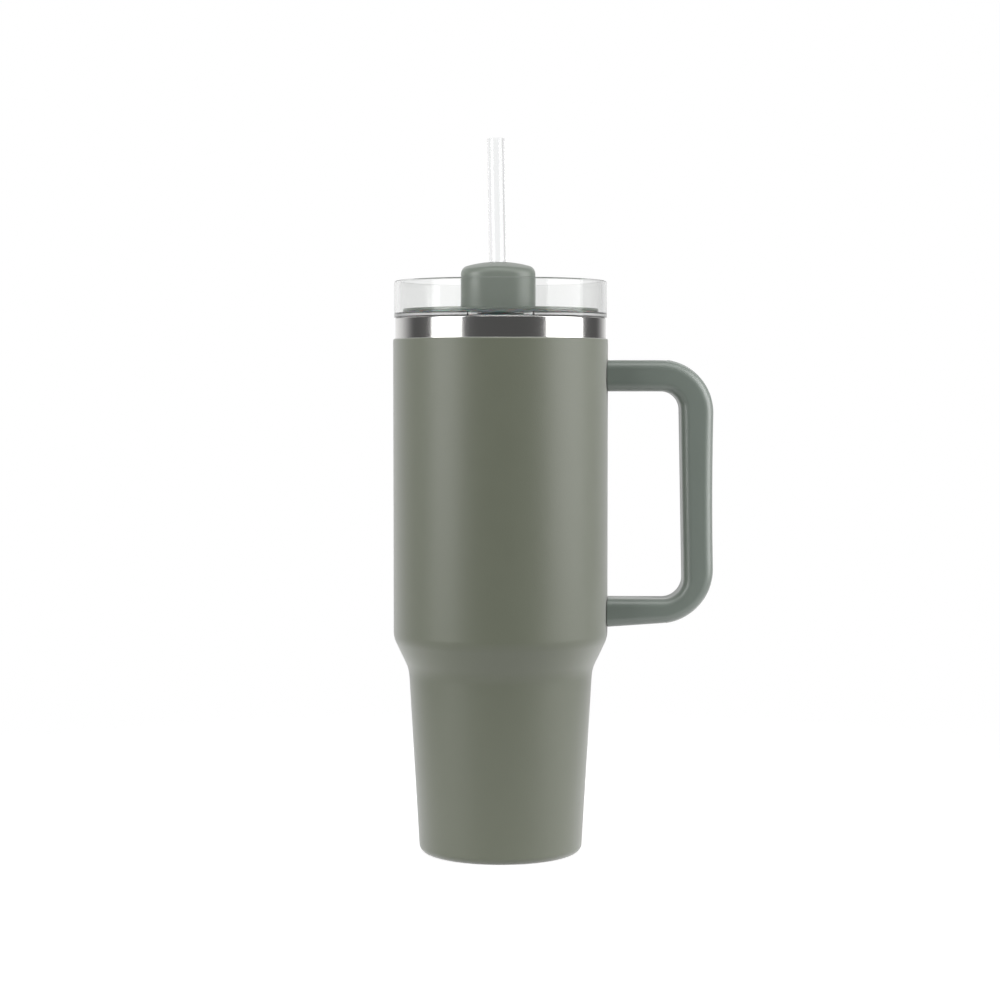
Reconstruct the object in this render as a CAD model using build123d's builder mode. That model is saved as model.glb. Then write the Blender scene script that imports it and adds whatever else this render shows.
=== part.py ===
from build123d import *
import os

# Insulated tumbler: a double-walled steel vessel with a screwed-on handle, a clear push-in lid,
# a turning cover that opens and closes the sip slot, and a straw through the middle of the cover.
# Millimetres. +Z is up, the origin is the centre of the ring that the vessel stands on,
# the handle points along +X and the sip slot is on the -Y side.

# ---- driving dimensions ----------------------------------------------------------------------

# Outside of the vessel. Corners are given as sharp, with their rounding.
BODY_R = 50.0
WAIST_R = 42.9
BASE_R = 37.9
WAIST_Z = 86.0
SHOULDER_Z = 100.8
SHELL_TOP_Z = 240.0
LIP_Z = 249.6
NECK_R = 49.0
BASE_ROUND = 3.6
WAIST_ROUND = 18.0
SHOULDER_ROUND = 12.0
SHELL_EDGE = 0.8
LIP_ROUND = 0.7

# Walls.
SHELL_T = 0.5
VACUUM_GAP = 2.5
LINER_T = 0.5
LINER_FLOOR_Z = 12.0
LINER_CORNER = 8.0

# Handle, in its side view.
HANDLE_TOP_Z = 230.1
HANDLE_BOTTOM_Z = 105.5
HANDLE_BACK_X = 98.8
HANDLE_BACK_WAIST_X = 98.0
HANDLE_BACK_FOOT_X = 99.1
HANDLE_FOOT_Z = 109.4
HANDLE_TOP_ROUND = 24.5
HANDLE_FOOT_ROUND = 25.0
FINGER_TOP_Z = 215.6
FINGER_BOTTOM_Z = 119.2
FINGER_TOP_X = 83.3
FINGER_FOOT_X = 85.2
FINGER_TOP_ROUND = 8.5
FINGER_FOOT_ROUND = 9.5
HANDLE_W = 22.0
HANDLE_EDGE = 4.3

# Lid, cover and straw.
LID_R = 49.5
LID_RIM_T = 2.5
LID_TOP_Z = 266.8
LID_FLOOR_Z = 251.4
LID_FLOOR_T = 2.2
PLUG_R = 45.4
PLUG_T = 3.0
PLUG_BOTTOM_Z = 236.4
COVER_R = 45.6
COVER_Z = 252.3
COVER_T = 1.5
GRIP_X = -1.1  # the grip and the straw stand this far from the turning axis
GRIP_W = 34.2
GRIP_L = 56.0
GRIP_TOP_Z = 275.7
GRIP_CORNER = 13.0
GRIP_EDGE = 2.5
CROWN_R = 55.0
CROWN_LONG_R = 110.0  # the crown is flatter along the grip than across it
STRAW_R = 4.0
STRAW_WALL = 0.9
STRAW_LENGTH = 319.0
STRAW_ABOVE_PIVOT = 64.8
STRAW_PIVOT_Z = 268.0
STRAW_TILT = 1.0

RUNNING = 0.05  # clearance between pieces that slide or turn on each other


def outline(*corners):
    """A closed flat shape from corners of (across, up, rounding)."""
    with BuildSketch() as shape:
        with BuildLine():
            FilletPolyline(
                *[(across, up) for across, up, rounding in corners],
                radius=[rounding for across, up, rounding in corners],
                close=True,
            )
        make_face()
    return shape.sketch


# ---- vessel ----------------------------------------------------------------------------------

foot_taper = (WAIST_R - BASE_R) / WAIST_Z  # the narrow foot widens by this much per millimetre

# Steel outer shell, coated outside: standing ring, tapered foot, shoulder and cylinder.
RING_R = 31.0
RING_LIP_Z = 3.0
with BuildPart() as outer_shell:
    with BuildSketch(Plane.XZ):
        add(
            outline(
                (RING_R, 0, 0),
                (BASE_R, 0, BASE_ROUND),
                (WAIST_R, WAIST_Z, WAIST_ROUND),
                (BODY_R, SHOULDER_Z, SHOULDER_ROUND),
                (BODY_R, SHELL_TOP_Z, SHELL_EDGE),
                (NECK_R, SHELL_TOP_Z, 0),
                (NECK_R, SHELL_TOP_Z - SHELL_T, 0),
                (BODY_R - SHELL_T, SHELL_TOP_Z - SHELL_T, 0),
                (BODY_R - SHELL_T, SHOULDER_Z, SHOULDER_ROUND),
                (WAIST_R - SHELL_T, WAIST_Z, WAIST_ROUND),
                (BASE_R - SHELL_T, SHELL_T, BASE_ROUND - SHELL_T),
                (RING_R + SHELL_T, SHELL_T, 0),
                (RING_R + SHELL_T, RING_LIP_Z, 0),
                (RING_R, RING_LIP_Z, 0),
            )
        )
    revolve(axis=Axis.Z)

# Steel liner. Its mouth folds outwards and down to make the lip and the bare neck band.
LINER_OUT = SHELL_T + VACUUM_GAP  # from the shell's outside to the liner's outside
LINER_IN = LINER_OUT + LINER_T
NECK_BOTTOM_Z = SHELL_TOP_Z - 4.0
liner_foot_r = BASE_R + foot_taper * LINER_FLOOR_Z
with BuildPart() as inner_liner:
    with BuildSketch(Plane.XZ):
        add(
            outline(
                (0, LINER_FLOOR_Z, 0),
                (liner_foot_r - LINER_IN, LINER_FLOOR_Z, LINER_CORNER),
                (WAIST_R - LINER_IN, WAIST_Z, WAIST_ROUND),
                (BODY_R - LINER_IN, SHOULDER_Z, SHOULDER_ROUND),
                (BODY_R - LINER_IN, LIP_Z, LIP_ROUND),
                (NECK_R, LIP_Z, LIP_ROUND),
                (NECK_R, NECK_BOTTOM_Z, 0),
                (NECK_R - LINER_T, NECK_BOTTOM_Z, 0),
                (NECK_R - LINER_T, LIP_Z - LINER_T, LIP_ROUND - LINER_T),
                (BODY_R - LINER_OUT, LIP_Z - LINER_T, LIP_ROUND - LINER_T),
                (BODY_R - LINER_OUT, SHOULDER_Z, SHOULDER_ROUND),
                (WAIST_R - LINER_OUT, WAIST_Z, WAIST_ROUND),
                (liner_foot_r - LINER_OUT, LINER_FLOOR_Z - LINER_T, LINER_CORNER + LINER_T),
                (0, LINER_FLOOR_Z - LINER_T, 0),
            )
        )
    revolve(axis=Axis.Z)

# Copper foil wrapped around the liner in the vacuum, against radiated heat.
FOIL_T = 0.08
FOIL_BOTTOM_Z = 24.0
FOIL_TOP_Z = 232.0
foil_in = LINER_OUT - 0.4
foil_out = foil_in - FOIL_T
foil_foot_r = BASE_R + foot_taper * FOIL_BOTTOM_Z
with BuildPart() as foil_wrap:
    with BuildSketch(Plane.XZ):
        add(
            outline(
                (foil_foot_r - foil_in, FOIL_BOTTOM_Z, 0),
                (WAIST_R - foil_in, WAIST_Z, WAIST_ROUND),
                (BODY_R - foil_in, SHOULDER_Z, SHOULDER_ROUND),
                (BODY_R - foil_in, FOIL_TOP_Z, 0),
                (BODY_R - foil_out, FOIL_TOP_Z, 0),
                (BODY_R - foil_out, SHOULDER_Z, SHOULDER_ROUND),
                (WAIST_R - foil_out, WAIST_Z, WAIST_ROUND),
                (foil_foot_r - foil_out, FOIL_BOTTOM_Z, 0),
            )
        )
    revolve(axis=Axis.Z)

# Base plate welded inside the standing ring. Air was drawn out through the hole in its dimple.
PLATE_Z = 1.9
PLATE_T = 0.7
DIMPLE_R = 4.6
DIMPLE_RISE = 0.9
PORT_R = 0.9
dimple_z = PLATE_Z + DIMPLE_RISE
with BuildPart() as base_plate:
    with BuildSketch(Plane.XZ):
        add(
            outline(
                (PORT_R, dimple_z, 0),
                (DIMPLE_R, dimple_z, 0.4),
                (DIMPLE_R + 1.2, PLATE_Z, 0.4),
                (RING_R, PLATE_Z, 0),
                (RING_R, PLATE_Z + PLATE_T, 0),
                (DIMPLE_R + 1.5, PLATE_Z + PLATE_T, 0.4),
                (DIMPLE_R + 0.3, dimple_z + PLATE_T, 0.4),
                (PORT_R, dimple_z + PLATE_T, 0),
            )
        )
    revolve(axis=Axis.Z)

# Glass bead that seals the evacuation hole from below.
BEAD_R = 3.2
BEAD_H = 0.7
with BuildPart() as vacuum_seal_bead:
    with BuildSketch(Plane.XZ):
        add(
            outline(
                (0, dimple_z - BEAD_H, 0),
                (BEAD_R - 0.8, dimple_z - BEAD_H, 0.6),
                (BEAD_R, dimple_z, 0),
                (PORT_R, dimple_z, 0),
                (PORT_R, dimple_z + PLATE_T, 0),
                (0, dimple_z + PLATE_T, 0),
            )
        )
    revolve(axis=Axis.Z)

# Getter pill in its cup on top of the base plate. It takes up stray gas in the vacuum.
GETTER_R = 4.5
GETTER_H = 1.8
GETTER_RIM = 1.2
GETTER_AT = (-17.0, 0)
with BuildPart() as getter:
    with BuildSketch(Plane.XY.offset(PLATE_Z + PLATE_T)):
        with Locations(GETTER_AT):
            Circle(GETTER_R)
    extrude(amount=GETTER_H)
    with BuildSketch(Plane.XY.offset(PLATE_Z + PLATE_T + GETTER_H)):
        with Locations(GETTER_AT):
            Circle(GETTER_R - GETTER_RIM)
    extrude(amount=-0.5, mode=Mode.SUBTRACT)

# Thin cap pressed under the base plate. It hides the bead and has one stamped step.
CAP_Z = 0.6
CAP_T = 0.5
CAP_R = 30.6
STEP_R = 20.0
STEP_RISE = 0.4
with BuildPart() as base_cap:
    with BuildSketch(Plane.XZ):
        add(
            outline(
                (0, CAP_Z + STEP_RISE, 0),
                (STEP_R, CAP_Z + STEP_RISE, 0.2),
                (STEP_R + 0.6, CAP_Z, 0.2),
                (CAP_R, CAP_Z, 0.4),
                (CAP_R, PLATE_Z, 0),
                (CAP_R - CAP_T, PLATE_Z, 0),
                (CAP_R - CAP_T, CAP_Z + CAP_T, 0),
                (STEP_R + 0.3, CAP_Z + CAP_T, 0.2),
                (STEP_R - 0.3, CAP_Z + CAP_T + STEP_RISE, 0.2),
                (0, CAP_Z + CAP_T + STEP_RISE, 0),
            )
        )
    revolve(axis=Axis.Z)

# ---- handle ----------------------------------------------------------------------------------

ARM_START_X = 40.0  # arms and lugs are drawn from inside the vessel, which then trims them
UPPER_ARM_Z = 222.9
LOWER_ARM_Z = 113.0
lower_from_upper = Location((0, 0, LOWER_ARM_Z - UPPER_ARM_Z))

# Steel lugs welded to the shell, each with a blind screw hole in its end.
LUG_W = 13.0
LUG_H = 7.0
LUG_ROUND = 1.0
LUG_END_X = 59.0
THREAD_R = 1.75
THREAD_DEPTH = 7.5
with BuildPart() as upper_lug:
    with BuildSketch(Plane.YZ.offset(ARM_START_X)):
        with Locations((0, UPPER_ARM_Z)):
            RectangleRounded(LUG_W, LUG_H, LUG_ROUND)
    extrude(amount=LUG_END_X - ARM_START_X)
    with Locations((0, 0, UPPER_ARM_Z)):
        Cylinder(BODY_R, 2 * LUG_H, mode=Mode.SUBTRACT)
    with BuildSketch(Plane.YZ.offset(LUG_END_X)):
        with Locations((0, UPPER_ARM_Z)):
            Circle(THREAD_R)
    extrude(amount=-THREAD_DEPTH, mode=Mode.SUBTRACT)

with BuildPart() as lower_lug:
    add(upper_lug.part.moved(lower_from_upper))

# Screws that hold the handle on its lugs, driven from the handle's back.
SCREW_TIP_X = 52.5
SCREW_SEAT_X = 63.0
HEAD_R = 3.0
HEAD_H = 2.6
KEY_R = 1.2
KEY_DEPTH = 1.5
with BuildPart() as upper_screw:
    with BuildSketch(Plane.YZ.offset(SCREW_TIP_X)):
        with Locations((0, UPPER_ARM_Z)):
            Circle(THREAD_R - RUNNING)
    extrude(amount=SCREW_SEAT_X - SCREW_TIP_X)
    with BuildSketch(Plane.YZ.offset(SCREW_SEAT_X)):
        with Locations((0, UPPER_ARM_Z)):
            Circle(HEAD_R)
    extrude(amount=HEAD_H)
    with BuildSketch(Plane.YZ.offset(SCREW_SEAT_X + HEAD_H)):
        with Locations((0, UPPER_ARM_Z)):
            RegularPolygon(KEY_R, 6)
    extrude(amount=-KEY_DEPTH, mode=Mode.SUBTRACT)

with BuildPart() as lower_screw:
    add(upper_screw.part.moved(lower_from_upper))


def handle_side(inset):
    """The handle's side view as if solid, with its outside moved inwards by inset."""
    return outline(
        (ARM_START_X, HANDLE_TOP_Z - inset, 0),
        (HANDLE_BACK_X - inset, HANDLE_TOP_Z - inset, HANDLE_TOP_ROUND - inset),
        (HANDLE_BACK_WAIST_X - inset, (HANDLE_TOP_Z + HANDLE_FOOT_Z) / 2, 1500),
        (HANDLE_BACK_FOOT_X - inset, HANDLE_FOOT_Z + inset, HANDLE_FOOT_ROUND - inset),
        (ARM_START_X, HANDLE_BOTTOM_Z + inset, 0),
    )


# Handle frame: a rigid C with lug pockets, screw bores and a groove for the soft strip.
STRIP_W = 11.6
STRIP_DEPTH = 2.2
STRIP_PROUD = 0.3
STRIP_GAP = 0.25
STRIP_END_X = 77.0
HANDLE_GAP = 0.15  # between the arms' ends and the shell
POCKET_GAP = 0.15
SCREW_BORE_R = 3.2
SCREW_CLEAR_R = 1.95
strip_mid_z = (HANDLE_TOP_Z + HANDLE_BOTTOM_Z) / 2
with BuildPart() as handle_frame:
    with BuildSketch(Plane.XZ):
        add(handle_side(0))
        add(
            outline(
                (ARM_START_X, FINGER_TOP_Z, 0),
                (FINGER_TOP_X, FINGER_TOP_Z, FINGER_TOP_ROUND),
                (FINGER_FOOT_X, FINGER_BOTTOM_Z, FINGER_FOOT_ROUND),
                (ARM_START_X, FINGER_BOTTOM_Z + 0.3, 0),
            ),
            mode=Mode.SUBTRACT,
        )
    extrude(amount=HANDLE_W / 2, both=True)
    side_faces = handle_frame.faces().filter_by(Axis.Y)
    fillet(side_faces.edges().filter_by(lambda e: e.center().X > ARM_START_X + 1), HANDLE_EDGE)
    with Locations((0, 0, strip_mid_z)):
        Cylinder(BODY_R + HANDLE_GAP, 2 * HANDLE_TOP_Z, mode=Mode.SUBTRACT)
    with BuildSketch(Plane.YZ.offset(ARM_START_X)):
        with Locations((0, UPPER_ARM_Z), (0, LOWER_ARM_Z)):
            RectangleRounded(LUG_W + 2 * POCKET_GAP, LUG_H + 2 * POCKET_GAP, LUG_ROUND)
    extrude(amount=LUG_END_X - ARM_START_X, mode=Mode.SUBTRACT)
    with BuildSketch(Plane.YZ.offset(LUG_END_X)):
        with Locations((0, UPPER_ARM_Z), (0, LOWER_ARM_Z)):
            Circle(SCREW_CLEAR_R)
    extrude(amount=SCREW_SEAT_X - LUG_END_X, mode=Mode.SUBTRACT)
    with BuildSketch(Plane.YZ.offset(SCREW_SEAT_X)):
        with Locations((0, UPPER_ARM_Z), (0, LOWER_ARM_Z)):
            Circle(SCREW_BORE_R)
    extrude(amount=2 * ARM_START_X, mode=Mode.SUBTRACT)
    with BuildSketch(Plane.XZ):
        add(handle_side(-HANDLE_EDGE))
        add(handle_side(STRIP_DEPTH), mode=Mode.SUBTRACT)
        with Locations((ARM_START_X, strip_mid_z)):
            Rectangle(2 * (STRIP_END_X - STRIP_GAP - ARM_START_X), 200, mode=Mode.SUBTRACT)
    extrude(amount=STRIP_W / 2 + STRIP_GAP, both=True, mode=Mode.SUBTRACT)

# Soft strip let into the handle's back, over the screw bores. It stands a little proud.
with BuildPart() as grip_strip:
    with BuildSketch(Plane.XZ):
        add(handle_side(-STRIP_PROUD))
        add(handle_side(STRIP_DEPTH), mode=Mode.SUBTRACT)
        with Locations((ARM_START_X, strip_mid_z)):
            Rectangle(2 * (STRIP_END_X - ARM_START_X), 200, mode=Mode.SUBTRACT)
    extrude(amount=STRIP_W / 2, both=True)

# ---- lid -------------------------------------------------------------------------------------

HUB_R = 8.95
HUB_WALL = 2.65
SIP_CIRCLE_R = 38.0
SIP_W = 6.5
SIP_ARC = 34
VENT_R = 1.25


def ports(widen):
    """Sip slot on the -Y side and vent hole on the +Y side, as a flat shape."""
    with BuildSketch() as shape:
        with BuildLine(mode=Mode.PRIVATE):
            sip = CenterArc((0, 0), SIP_CIRCLE_R, -90 - SIP_ARC / 2, SIP_ARC)
        SlotArc(sip, SIP_W + 2 * widen)
        with Locations((0, SIP_CIRCLE_R)):
            Circle(VENT_R + widen)
    return shape.sketch


# Clear lid: a rim that stands on the vessel's lip, a floor, and a plug with a seal groove.
GROOVE_DEPTH = 1.5
GROOVE_BOTTOM_Z = 239.6
GROOVE_H = 6.0
groove_top_z = GROOVE_BOTTOM_Z + GROOVE_H
floor_under_z = LID_FLOOR_Z - LID_FLOOR_T
with BuildPart() as lid_body:
    with BuildSketch(Plane.XZ):
        add(
            outline(
                (HUB_R + RUNNING, floor_under_z, 0),
                (PLUG_R - PLUG_T, floor_under_z, 1.5),
                (PLUG_R - PLUG_T, PLUG_BOTTOM_Z, 0.5),
                (PLUG_R, PLUG_BOTTOM_Z, 0.8),
                (PLUG_R, GROOVE_BOTTOM_Z, 0),
                (PLUG_R - GROOVE_DEPTH, GROOVE_BOTTOM_Z, 0),
                (PLUG_R - GROOVE_DEPTH, groove_top_z, 0),
                (PLUG_R, groove_top_z, 0),
                (PLUG_R, LIP_Z + RUNNING, 0),
                (LID_R, LIP_Z + RUNNING, 0.4),
                (LID_R, LID_TOP_Z, 1.0),
                (LID_R - LID_RIM_T, LID_TOP_Z, 1.0),
                (LID_R - LID_RIM_T, LID_FLOOR_Z, 0.6),
                (HUB_R + RUNNING, LID_FLOOR_Z, 0),
            )
        )
    revolve(axis=Axis.Z)
    with BuildSketch(Plane.XY.offset(LID_FLOOR_Z)):
        add(ports(0.3))
    extrude(amount=-LID_FLOOR_T, mode=Mode.SUBTRACT)

# Silicone ring in the plug's groove, with two lips that reach the liner.
SEAL_LIP = 0.4
seal_back_r = PLUG_R - GROOVE_DEPTH
seal_tip_r = BODY_R - LINER_IN - RUNNING
seal_mid_z = GROOVE_BOTTOM_Z + GROOVE_H / 2
seal_bottom_z = GROOVE_BOTTOM_Z + RUNNING
seal_top_z = groove_top_z - RUNNING
with BuildPart() as lid_seal:
    with BuildSketch(Plane.XZ):
        add(
            outline(
                (seal_back_r, seal_bottom_z, 0),
                (PLUG_R, seal_bottom_z, 0),
                (seal_tip_r, seal_bottom_z + 1.2, 0),
                (seal_tip_r, seal_bottom_z + 1.2 + SEAL_LIP, 0),
                (PLUG_R, seal_bottom_z + 1.2 + SEAL_LIP, 0),
                (PLUG_R, seal_mid_z, 0),
                (seal_tip_r, seal_mid_z + 1.2, 0),
                (seal_tip_r, seal_mid_z + 1.2 + SEAL_LIP, 0),
                (PLUG_R, seal_mid_z + 1.2 + SEAL_LIP, 0),
                (PLUG_R, seal_top_z, 0),
                (seal_back_r, seal_top_z, 0),
            )
        )
    revolve(axis=Axis.Z)

# ---- cover -----------------------------------------------------------------------------------

GRIP_WALL = 2.0
GRIP_ROOF_T = 3.0
HUB_BOTTOM_Z = 246.6
CLIP_T = 1.2
CLIP_GAP = 0.1
ROOF_HOLE_R = 4.8
hub_top_z = GRIP_TOP_Z - GRIP_ROOF_T - 0.6
clip_top_z = floor_under_z - CLIP_GAP
clip_bottom_z = clip_top_z - CLIP_T
clip_r = HUB_R - 0.8
hub_bore_r = HUB_R - HUB_WALL



def crown(depth):
    """The space under the grip's curved top, or under a surface that runs depth below it."""
    with BuildPart() as shape:
        with BuildSketch(Plane.XZ):
            with Locations((GRIP_X, GRIP_TOP_Z - CROWN_R)):
                Circle(CROWN_R - depth)
            with Locations((GRIP_X, GRIP_TOP_Z - CROWN_LONG_R)):
                Rectangle(2 * GRIP_W, CROWN_LONG_R, align=(Align.CENTER, Align.MIN), mode=Mode.INTERSECT)
        revolve(axis=Axis((0, 0, GRIP_TOP_Z - CROWN_LONG_R), (1, 0, 0)))
    return shape.part


# The hollow inside the grip bar, domed like the bar's top.
with BuildPart() as grip_hollow:
    with BuildSketch(Plane.XY.offset(COVER_Z)):
        with Locations((GRIP_X, 0)):
            RectangleRounded(
                GRIP_W - 2 * GRIP_WALL, GRIP_L - 2 * GRIP_WALL, GRIP_CORNER - GRIP_WALL
            )
    extrude(amount=GRIP_TOP_Z - COVER_Z)
    add(crown(GRIP_ROOF_T), mode=Mode.INTERSECT)

# Turning cover: a disc over the lid's floor, a hollow grip bar and a hub through the floor.
with BuildPart() as rotating_cover:
    with BuildSketch(Plane.XY.offset(COVER_Z)):
        with Locations((GRIP_X, 0)):
            RectangleRounded(GRIP_W, GRIP_L, GRIP_CORNER)
    extrude(amount=GRIP_TOP_Z - COVER_Z)
    add(crown(0), mode=Mode.INTERSECT)
    fillet(rotating_cover.faces().sort_by(Axis.Z)[-1].edges(), GRIP_EDGE)
    with BuildSketch(Plane.XY.offset(COVER_Z)):
        Circle(COVER_R)
        add(ports(0), mode=Mode.SUBTRACT)
    extrude(amount=COVER_T)
    add(grip_hollow.part, mode=Mode.SUBTRACT)
    with BuildSketch(Plane.XZ):
        add(
            outline(
                (hub_bore_r, HUB_BOTTOM_Z, 0),
                (HUB_R, HUB_BOTTOM_Z, 0.5),
                (HUB_R, clip_bottom_z, 0),
                (clip_r, clip_bottom_z, 0),
                (clip_r, clip_top_z, 0),
                (HUB_R, clip_top_z, 0),
                (HUB_R, hub_top_z, 0),
                (hub_bore_r, hub_top_z, 0),
            )
        )
    revolve(axis=Axis.Z)
    with Locations((GRIP_X, 0, GRIP_TOP_Z)):
        Cylinder(ROOF_HOLE_R, 7, mode=Mode.SUBTRACT)

# Gasket under the disc, with the same ports. It turns with the cover on the lid's floor.
with BuildPart() as cover_seal:
    with BuildSketch(Plane.XY.offset(LID_FLOOR_Z + RUNNING)):
        Circle(COVER_R - 1.2)
        Circle(HUB_R, mode=Mode.SUBTRACT)
        add(ports(0), mode=Mode.SUBTRACT)
    extrude(amount=COVER_Z - LID_FLOOR_Z - RUNNING)

# Spring clip in the hub's groove, under the lid's floor. It keeps the cover on the lid.
CLIP_OUT_R = 11.5
CLIP_MOUTH = 9.0
with BuildPart() as hub_clip:
    with BuildSketch(Plane.XY.offset(clip_bottom_z)):
        Circle(CLIP_OUT_R)
        Circle(clip_r, mode=Mode.SUBTRACT)
        with Locations((CLIP_OUT_R, 0)):
            Rectangle(CLIP_OUT_R, CLIP_MOUTH, mode=Mode.SUBTRACT)
    extrude(amount=CLIP_T)

# ---- straw -----------------------------------------------------------------------------------

straw_plane = Plane((GRIP_X, 0, STRAW_PIVOT_Z)).rotated((0, -STRAW_TILT, 0))

# Soft sleeve in the hub's bore that holds the straw.
GROMMET_BOTTOM_Z = 258.0
with BuildPart() as straw_grommet:
    with BuildSketch(Plane.XY.offset(GROMMET_BOTTOM_Z)):
        Circle(hub_bore_r)
    extrude(amount=hub_top_z - GROMMET_BOTTOM_Z)
    with BuildSketch(straw_plane.offset(-2 * HUB_R)):
        Circle(STRAW_R + RUNNING)
    extrude(amount=4 * HUB_R, mode=Mode.SUBTRACT)

# Clear straw.
with BuildPart() as straw:
    with BuildSketch(straw_plane.offset(STRAW_ABOVE_PIVOT)):
        Circle(STRAW_R)
        Circle(STRAW_R - STRAW_WALL, mode=Mode.SUBTRACT)
    extrude(amount=-STRAW_LENGTH)
    fillet(straw.edges().filter_by(GeomType.CIRCLE), 0.3)

# ---- export ----------------------------------------------------------------------------------

outer_shell.part.label = "outer_shell"
inner_liner.part.label = "inner_liner"
foil_wrap.part.label = "foil_wrap"
base_plate.part.label = "base_plate"
vacuum_seal_bead.part.label = "vacuum_seal_bead"
getter.part.label = "getter"
base_cap.part.label = "base_cap"
upper_lug.part.label = "upper_lug"
lower_lug.part.label = "lower_lug"
upper_screw.part.label = "upper_screw"
lower_screw.part.label = "lower_screw"
handle_frame.part.label = "handle_frame"
grip_strip.part.label = "grip_strip"
lid_body.part.label = "lid_body"
lid_seal.part.label = "lid_seal"
rotating_cover.part.label = "rotating_cover"
cover_seal.part.label = "cover_seal"
hub_clip.part.label = "hub_clip"
straw_grommet.part.label = "straw_grommet"
straw.part.label = "straw"

os.makedirs("parts", exist_ok=True)
export_step(outer_shell.part, "parts/outer_shell.step")
export_step(inner_liner.part, "parts/inner_liner.step")
export_step(foil_wrap.part, "parts/foil_wrap.step")
export_step(base_plate.part, "parts/base_plate.step")
export_step(vacuum_seal_bead.part, "parts/vacuum_seal_bead.step")
export_step(getter.part, "parts/getter.step")
export_step(base_cap.part, "parts/base_cap.step")
export_step(upper_lug.part, "parts/upper_lug.step")
export_step(lower_lug.part, "parts/lower_lug.step")
export_step(upper_screw.part, "parts/upper_screw.step")
export_step(lower_screw.part, "parts/lower_screw.step")
export_step(handle_frame.part, "parts/handle_frame.step")
export_step(grip_strip.part, "parts/grip_strip.step")
export_step(lid_body.part, "parts/lid_body.step")
export_step(lid_seal.part, "parts/lid_seal.step")
export_step(rotating_cover.part, "parts/rotating_cover.step")
export_step(cover_seal.part, "parts/cover_seal.step")
export_step(hub_clip.part, "parts/hub_clip.step")
export_step(straw_grommet.part, "parts/straw_grommet.step")
export_step(straw.part, "parts/straw.step")
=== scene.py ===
"""Looks for the insulated tumbler: smooth shells, clear lid and straw, moulded handle and cover.

Every piece is a loft: a list of rings of points, each ring joined to the next. A turned piece is
a loft of circles. Metres throughout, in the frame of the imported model: +Z up, handle along +X.
"""

import math

import bmesh
import bpy
from mathutils import Matrix, Vector


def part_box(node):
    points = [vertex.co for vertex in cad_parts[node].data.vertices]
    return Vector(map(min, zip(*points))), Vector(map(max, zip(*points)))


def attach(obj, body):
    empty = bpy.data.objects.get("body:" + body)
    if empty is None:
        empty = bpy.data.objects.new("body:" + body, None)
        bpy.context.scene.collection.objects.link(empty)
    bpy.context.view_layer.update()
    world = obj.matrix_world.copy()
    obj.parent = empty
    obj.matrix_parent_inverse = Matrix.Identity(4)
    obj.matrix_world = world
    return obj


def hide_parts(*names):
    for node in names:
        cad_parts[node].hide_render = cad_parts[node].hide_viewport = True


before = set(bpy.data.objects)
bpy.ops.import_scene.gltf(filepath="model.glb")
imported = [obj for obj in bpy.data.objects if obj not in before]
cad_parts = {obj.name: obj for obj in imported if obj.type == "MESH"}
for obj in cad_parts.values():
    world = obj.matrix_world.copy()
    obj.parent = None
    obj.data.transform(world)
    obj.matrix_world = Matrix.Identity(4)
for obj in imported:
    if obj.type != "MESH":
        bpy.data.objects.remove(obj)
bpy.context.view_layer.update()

MM = 0.001
TURN = 2 * math.pi
AROUND = 216  # points in each circle
ARC_STEP = math.radians(9)  # longest step along a rounded corner
SHARP = math.radians(32)  # edges that turn more than this are shaded sharp

# ---- sizes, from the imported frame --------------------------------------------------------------

shell_low, shell_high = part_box("outer_shell")
liner_low, liner_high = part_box("inner_liner")
cap_low, cap_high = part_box("base_cap")
handle_low, handle_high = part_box("handle_frame")
strip_low, strip_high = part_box("grip_strip")
lid_low, lid_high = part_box("lid_body")
seal_low, seal_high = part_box("lid_seal")
cover_low, cover_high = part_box("rotating_cover")
gasket_low, gasket_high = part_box("cover_seal")
grommet_low, grommet_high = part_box("straw_grommet")

BODY_R = shell_high.x
SHELL_TOP = shell_high.z
NECK_R = liner_high.x
LIP = liner_high.z
LID_R = lid_high.x
LID_TOP = lid_high.z
COVER_R = cover_high.x
GRIP_TOP = 275.7 * MM

# ---- outlines and rings ------------------------------------------------------------------------


def rounded(*corners, closed=True, steps=None):
    """Points along an outline of (across, up, rounding) corners."""
    points = []
    count = len(corners)
    for i, (x, y, radius) in enumerate(corners):
        here = Vector((x, y))
        arc = [here]
        if radius > 0 and (closed or 0 < i < count - 1):
            to_last = (Vector(corners[i - 1][:2]) - here).normalized()
            to_next = (Vector(corners[(i + 1) % count][:2]) - here).normalized()
            half = to_last.angle(to_next) / 2
            centre = here + (to_last + to_next).normalized() * (radius / math.sin(half))
            arm = here + to_last * (radius / math.tan(half)) - centre
            turn = math.copysign(math.pi - 2 * half, to_next.cross(to_last))
            parts = steps or max(3, math.ceil(abs(turn) / ARC_STEP))
            spokes = [Matrix.Rotation(turn * k / parts, 2) @ arm for k in range(parts + 1)]
            arc = [centre + spoke for spoke in spokes]
        points += [p for p in arc if not points or (p - points[-1]).length > 1e-7]
    if closed and (points[0] - points[-1]).length < 1e-7:
        points.pop()
    return points


def circle(radius, z, x=0.0, count=AROUND):
    """A ring about a vertical axis. A radius of nothing gives a single point."""
    if radius < 1e-7:
        return [Vector((x, 0, z))]
    turns = [TURN * k / count for k in range(count)]
    return [Vector((x + radius * math.cos(a), radius * math.sin(a), z)) for a in turns]


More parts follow.
